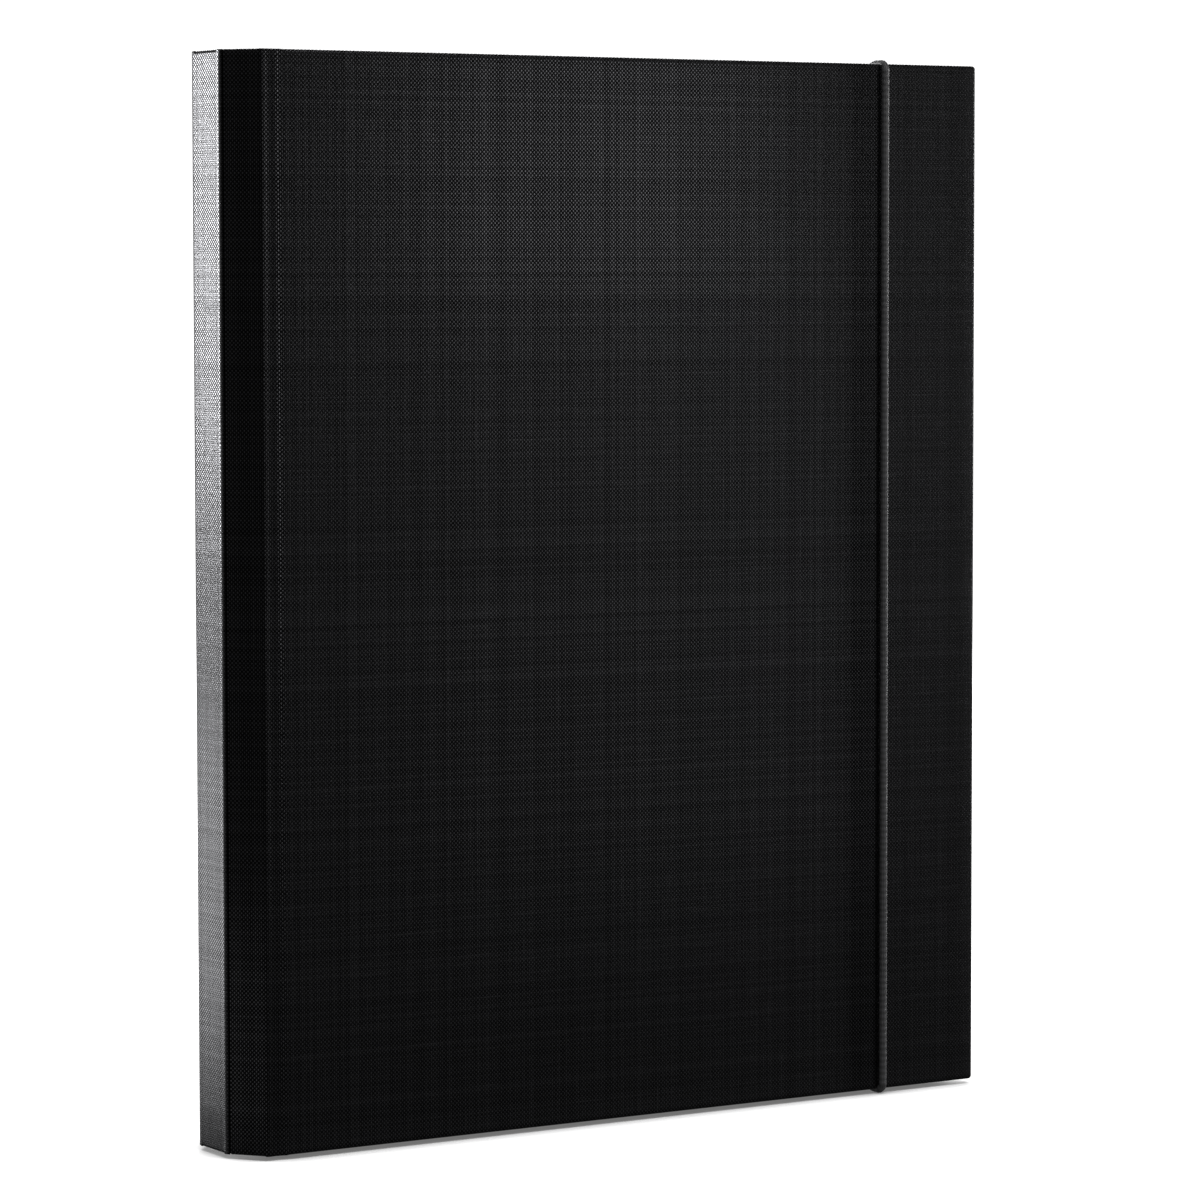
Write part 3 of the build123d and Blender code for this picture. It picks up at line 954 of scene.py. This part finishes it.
def pastedown(side):
    """The endpaper on a cover's inner face, which goes on over the joint to the crease."""
    low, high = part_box(f"{SIDES[side]}_pastedown")
    columns = merged(spread((CREASE_X + CREASE_REACH) + 0.3 * MM, BOARD_EDGE_X + 1.5 * MM, 0.4 * MM),
                     spread(BOARD_EDGE_X + 2 * MM, high.x, 8 * MM),
                     [FORE_X - TURN_IN + k * RIDGE / 2 for k in range(-3, 4)])
    rows = edge_rows(low.z, high.z, 10 * MM)

    def place(x, z, lift):
        bare = (1 - turned_in(x, z)) * step(BOARD_EDGE_X, BOARD_EDGE_X + 2 * MM, x)
        depth = groove_depth(x) + stack_at(x) - BARE_DROP * bare
        return x, side * (COVER_Y - depth - lift - PAPER_LIFT), z

    paper_sheet(f"{SIDES[side]}_endpaper", columns, rows, place, ENDPAPER, ENDPAPER_MATERIAL,
                f"{SIDES[side]}_cover", [f"{SIDES[side]}_pastedown"])


def inner_lining(name, side, start, end, body, stack):
    """The paper that lines the inner face of a bevel or of half of the spine board."""
    indices = along(start, end)
    rows = edge_rows(TAIL_Z + LINING_INSET, HEAD_Z - LINING_INSET, 10 * MM)

    def place(k, z, lift):
        depth = stack - BARE_DROP * (1 - turned_in(0.0, z)) + lift + PAPER_LIFT
        normal = LINE_NORMALS[k]
        return LINE[k].x + normal.x * depth, side * (COVER_Y - LINE[k].y - normal.y * depth), z

    paper_sheet(name, indices, rows, place, ENDPAPER, ENDPAPER_MATERIAL, body)


for side, word in SIDES.items():
    pastedown(side)
    inner_lining(f"{word}_bevel_lining", side, BEVEL_START + PAPER_INSET, BEVEL_END - PAPER_INSET,
                 f"{word}_bevel", BEVEL_STACK)
    inner_lining(f"{word}_spine_lining", side, 0.0, SPINE_END - PAPER_INSET, "spine", SPINE_STACK)


# ---------------- the text block

rng = np.random.default_rng(11)


def section_middle(number):
    """The y of a section's middle."""
    return (number - (SECTIONS + 1) / 2) * SECTION_PITCH


def folded_sheet(shape, middle, half, thickness, far_x, low_z, high_z, fold_x):
    """One folded sheet: two leaves joined by a rounded fold at the spine, as a thin closed solid."""
    bends = [math.pi / 2 - math.pi * k / 8 for k in range(9)]

    def profile(h):
        bulge = FOLD_BULGE * h / (SECTION_PITCH / 2)
        arc = [(fold_x + bulge - bulge * math.cos(b) + (half - h), middle + h * math.sin(b)) for b in bends]
        return [(far_x, middle + h), (fold_x + FOLD_END, middle + h), *arc,
                (fold_x + FOLD_END, middle - h), (far_x, middle - h)]

    outer, inner = profile(half), profile(half - thickness)
    levels = [low_z, (low_z + high_z) / 2, high_z]
    shape.sheet([[(x, y, z) for z in levels] for x, y in outer],
                [[(x, y, z) for z in levels] for x, y in inner],
                [[(x, z) for z in levels] for x, y in outer])


def neighbour(number):
    """The next section towards the middle, none for the middle two."""
    if number in (SECTIONS // 2, SECTIONS // 2 + 1):
        return None
    return f"section_{number + (1 if number <= SECTIONS // 2 else -1):02d}"


def book_section(number):
    """One folded section of leaves, with edges that stray a little."""
    shape, middle = Shape(), section_middle(number)
    half = (SECTION_PITCH - SECTION_GAP) / 2
    sheet = half / SHEETS
    for k in range(SHEETS):
        creep, low, high = rng.uniform(0, LEAF_STRAY, 3)
        folded_sheet(shape, middle, half - k * sheet, sheet - LEAF_GAP, LEAF_END_X - creep,
                     LEAF_LOW_Z + low, LEAF_HIGH_Z - high, LEAF_X)
    obj = shape.build(f"leaves_{number:02d}", smooth=False)
    obj.data.materials.append(LEAF_MATERIAL)
    name = f"section_{number:02d}"
    inner = neighbour(number)
    if inner:
        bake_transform(obj)
    else:
        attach(obj, name)
    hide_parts(name)


def flyleaf(side, number):
    """The black leaf on the outside of the block, hinged along its spine edge."""
    low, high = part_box(f"{SIDES[side]}_flyleaf")
    inner_y = low.y if side == BACK else high.y
    thickness = high.y - low.y
    hinge = low.x + HINGE_AT
    columns = merged(spread(low.x, high.x, 12 * MM), [hinge - HINGE_HALF, hinge, hinge + HINGE_HALF])
    rows = spread(low.z, high.z, 12 * MM)

    def place(x, z, lift):
        crease = HINGE_DEPTH * math.exp(-((x - hinge) / HINGE_HALF) ** 2)
        return x, inner_y + side * (lift - 0.5 * crease if lift else 0.0), z

    paper_sheet(f"{SIDES[side]}_fly", columns, rows, place, thickness, ENDPAPER_MATERIAL,
                f"section_{number:02d}", [f"{SIDES[side]}_flyleaf"])


for number in range(1, SECTIONS + 1):
    book_section(number)
flyleaf(FRONT, 1)
flyleaf(BACK, SECTIONS)


# ---------------- the block's spine: lining cloth and end bands


def block_strip(number):
    """A section's share of the lining cloth on the block's spine, slightly round over the fold."""
    low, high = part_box("spine_lining")
    middle, half = section_middle(number), SECTION_PITCH / 2
    ys = [middle - half + SECTION_PITCH * k / 6 for k in range(7)]
    rows = spread(low.z, high.z, 8 * MM)

    def place(y, z, lift):
        bow = LINING_BOW * (1 - ((y - middle) / half) ** 2)
        return high.x - lift - bow, y, z

    paper_sheet(f"block_lining_{number:02d}", ys, rows, place, high.x - low.x - LINING_BOW, GAUZE_MATERIAL,
                f"section_{number:02d}", ["spine_lining"])


def band_segment(shape, node, number, outward_z):
    """A section's share of one end band: a wound bead on the block's edge, and the tape below it."""
    low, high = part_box(node)
    middle, half = section_middle(number), SECTION_PITCH / 2
    centre_x = high.x - BEAD_RADIUS
    centre_z = high.z - BEAD_RADIUS if outward_z > 0 else low.z + BEAD_RADIUS
    ring = [2 * math.pi * j / BAND_ROUND for j in range(BAND_ROUND)]
    rows, uvs = [], []
    for k in range(17):
        y = middle - half + SECTION_PITCH * k / 16
        wound = BEAD_RADIUS * (0.93 + 0.07 * abs(math.sin(math.pi * (y / BAND_PITCH))))
        rows.append([(centre_x + wound * math.cos(a), y, centre_z + wound * math.sin(a)) for a in ring])
        uvs.append([(j / BAND_ROUND, y) for j in range(BAND_ROUND)])
    shape.grid(rows, uvs, close=True, flip=True)
    shape.cap(rows[0])
    shape.cap(rows[-1], flip=True)
    tape = [centre_z - outward_z * TAPE_HEIGHT, centre_z]
    outer = [[(low.x, y, z) for z in tape] for y in (middle - half, middle + half)]
    inner = [[(low.x + TAPE, y, z) for z in tape] for y in (middle - half, middle + half)]
    shape.sheet(outer, inner, [[(y, z) for z in tape] for y in (0.0, 1.0)], flip=outward_z < 0)


def end_bands(number):
    """A section's share of the head band and the tail band."""
    shape = Shape()
    band_segment(shape, "head_band", number, 1)
    band_segment(shape, "tail_band", number, -1)
    obj = shape.build(f"end_bands_{number:02d}")
    finish_piece(obj, BAND_MATERIAL, f"section_{number:02d}", ["head_band", "tail_band"])


for number in range(1, SECTIONS + 1):
    block_strip(number)
    end_bands(number)


# ---------------- the elastic


def elastic_path():
    """The cord's middle line as corners (y, z, bend radius), from the upper hole round to the lower one.

    It runs up the back, over the head, down the front and under the tail, and dips between the two boards.
    """
    lower, upper = HOLE_ZS
    start, end = (CORD_Y - CORD_IN, upper, 0), (CORD_Y - CORD_IN, lower, 0)
    crossings = []
    for path_z, inward, turn in ((HEAD_PATH_Z, -1, 1), (TAIL_PATH_Z, 1, -1)):
        dip = path_z + inward * CORD_DIP
        crossing = [(CORD_Y, path_z, CORD_BEND), (BOARD_IN_Y, path_z, DIP_BEND), (DIP_Y, dip, DIP_BEND),
                    (-DIP_Y, dip, DIP_BEND), (-BOARD_IN_Y, path_z, DIP_BEND), (-CORD_Y, path_z, CORD_BEND)]
        crossings += crossing[::turn]
    return [start, (CORD_Y, upper, HOLE_BEND), *crossings, (CORD_Y, lower, HOLE_BEND), end]


def elastic():
    """The braided cord along its path."""
    corners = elastic_path()
    line = rounded_line([(y, z) for y, z, bend in corners], [bend for y, z, bend in corners[1:-1]], 10)
    at = lengths(line)
    count = round(at[-1] / BRAID_STEP)
    stations = [at[-1] * i / count for i in range(count + 1)]
    rows, uvs = [], []
    for s, (here, direction) in zip(stations, points_at(line, at, stations)):
        side_way = Vector((-direction.y, direction.x))
        row, uv = [], []
        for j in range(BRAID_ROUND):
            a = 2 * math.pi * j / BRAID_ROUND
            twist = 2 * math.pi * s / BRAID_LAY
            over = math.sin(BRAID_STRANDS * a + twist) * math.sin(BRAID_STRANDS * a - twist)
            radius = CORD_RADIUS * (0.965 + 0.035 * over)
            out = side_way * (radius * math.cos(a))
            row.append((CORD_X + radius * math.sin(a), here.x + out.x, here.y + out.y))
            uv.append((j / BRAID_ROUND, s))
        rows.append(row)
        uvs.append(uv)
    shape = Shape()
    shape.grid(rows, uvs, close=True)
    shape.cap(rows[0], flip=True)
    shape.cap(rows[-1])
    obj = shape.build("elastic_band")
    outward(obj, (CORD_X, 0.0, MIDDLE_Z))
    finish_piece(obj, ELASTIC_MATERIAL, "elastic", ["elastic_cord"])
    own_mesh(obj)


elastic()


# ---------------- camera, floor and lights


def camera():
    """The camera at the photo's place, turned by a yaw, a downward tilt and a roll."""
    data = bpy.data.cameras.new("camera")
    data.sensor_width, data.lens = 36, LENS
    data.clip_start, data.clip_end = 0.05, 50
    obj = new_object("camera", data)
    level = math.cos(CAMERA_DOWN)
    forward = Vector((math.sin(CAMERA_YAW) * level, math.cos(CAMERA_YAW) * level, -math.sin(CAMERA_DOWN)))
    level_right = Vector((math.cos(CAMERA_YAW), -math.sin(CAMERA_YAW), 0))
    level_up = level_right.cross(forward)
    right = level_right * math.cos(CAMERA_ROLL) + level_up * math.sin(CAMERA_ROLL)
    up = level_up * math.cos(CAMERA_ROLL) - level_right * math.sin(CAMERA_ROLL)
    basis = Matrix((right, up, -forward)).transposed().to_4x4()
    obj.matrix_world = Matrix.Translation(CAMERA_AT) @ basis
    bpy.context.scene.camera = obj


def studio():
    """A white bowl, floor and wall in one, that glows but lights nothing, so the cloth stays black; ambient
    occlusion dims its glow near the book into a painted contact shadow.
    """
    profile = [(r, 0.0) for r in (0.0, 0.05, 0.1, 0.2, 0.4, 0.8, 1.6, BOWL - BOWL_BEND)]
    profile += [(BOWL - BOWL_BEND + BOWL_BEND * math.sin(a), BOWL_BEND * (1 - math.cos(a)))
                for a in [math.pi / 2 * k / 8 for k in range(1, 9)]]
    profile += [(BOWL, BOWL)]
    turn = [2 * math.pi * k / BOWL_SIDES for k in range(BOWL_SIDES)]
    rows = [[(r * math.cos(a), r * math.sin(a), z) for a in turn] for r, z in profile]
    shape = Shape()
    shape.grid(rows, [[(0.0, 0.0)] * BOWL_SIDES] * len(rows), close=True)
    obj = shape.build("studio_bowl")
    n = Nodes("studio_white_painted_shadow")
    # Painted contact shadow: ambient occlusion dims the bowl's glow near the book.
    near = n.tree.nodes.new("ShaderNodeAmbientOcclusion")
    near.samples = 16
    near.inputs["Distance"].default_value = CONTACT
    glow_with_painted_shadow = n.ramp(near.outputs["AO"], *OPEN_RANGE, *GLOW_RANGE)
    n.set(Base_Color=(0.8, 0.8, 0.8, 1.0), Roughness=0.9, Specular_IOR_Level=0.0,
          Emission_Color=(1.0, 1.0, 1.0, 1.0))
    n.link(glow_with_painted_shadow, n.shader.inputs["Emission Strength"])
    obj.data.materials.append(n.material)
    obj.visible_glossy = obj.visible_diffuse = False


def softbox(name, at, towards, size, power):
    """A rectangular lamp that the camera doesn't see."""
    data = bpy.data.lights.new(name, "AREA")
    data.shape, data.size, data.size_y = "RECTANGLE", *size
    data.energy = power
    obj = new_object(name, data)
    obj.location = at
    obj.rotation_euler = (Vector(towards) - Vector(at)).to_track_quat("-Z", "Y").to_euler()
    obj.visible_camera = False


def world():
    """Faint white light from all round."""
    scene_world = bpy.data.worlds.new("studio_air")
    scene_world.use_nodes = True
    air = scene_world.node_tree.nodes["Background"].inputs
    air["Color"].default_value = (1.0, 1.0, 1.0, 1.0)
    air["Strength"].default_value = AIR
    bpy.context.scene.world = scene_world


camera()
studio()
world()
for light in LIGHTS:
    softbox(*light)
bpy.context.scene.view_settings.view_transform = "Standard"
